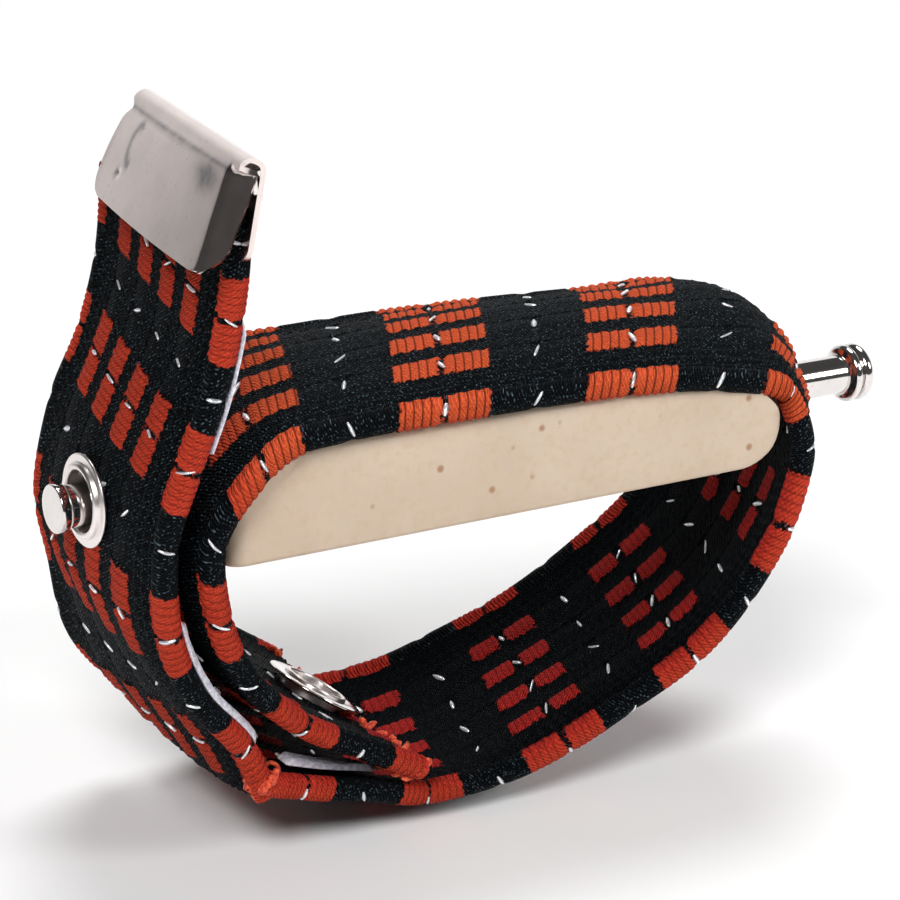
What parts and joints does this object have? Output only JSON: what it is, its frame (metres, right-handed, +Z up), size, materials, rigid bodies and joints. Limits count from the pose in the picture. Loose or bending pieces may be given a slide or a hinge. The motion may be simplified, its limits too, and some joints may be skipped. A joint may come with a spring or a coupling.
{
  "type": "strap capo",
  "caption": "Elastic strap capo: a rubber-faced bar with a peg at each end, held across a fingerboard by a loop of woven elastic that hooks on with an eyelet and a folded metal pull tab.",
  "frame": {"origin": "centre of the rubber pad's flat underside, the face that presses on the strings", "axes": "+X along the bar towards the long peg, +Y across the strap, +Z up from the pad's underside through its ridge"},
  "size_m": [0.0775, 0.0396, 0.0674],
  "materials": {
    "pad_rubber": "matt natural rubber with fine brown specks",
    "core_steel": "plain",
    "nickel": "polished nickel plate",
    "tab_nickel": "soft nickel plate with light scuffs",
    "webbing": "ribbed woven elastic, black with orange blocks and silver flecks",
    "lining": "fleecy pale tape",
    "thread": "orange thread"
  },
  "bodies": {
    "bar": {"rubber_pad": "pad_rubber", "core_bar": "core_steel", "left_peg": "nickel", "right_peg": "nickel", "strap_over_bar": "webbing", "strap_loop": "webbing", "strap_tail": "webbing", "lining_loop": "lining", "left_eyelet": "nickel", "left_eyelet_washer": "nickel", "right_eyelet": "nickel", "right_eyelet_washer": "nickel", "spare_eyelet": "nickel", "spare_eyelet_washer": "nickel", "kink_stitches": "thread", "tail_stitches": "thread"},
    "free_end": {"strap_free_run": "webbing", "lining_free_run": "lining", "hooked_eyelet": "nickel", "hooked_eyelet_washer": "nickel"},
    "tip": {"strap_tip": "webbing", "lining_tip": "lining", "pull_tab": "tab_nickel", "end_clip": "nickel"}
  },
  "joints": [
    {"name": "unhook", "type": "hinge", "parent": "bar", "child": "free_end", "pos_m": [-0.0319, 0.00576, -0.02029], "axis": [0, -0.9703, -0.2419], "range_deg": [0, 60]},
    {"name": "tab_bend", "type": "hinge", "parent": "free_end", "child": "tip", "pos_m": [-0.0329, -0.00178, 0.00993], "axis": [0, -0.9703, -0.2419], "range_deg": [0, 60]}
  ]
}
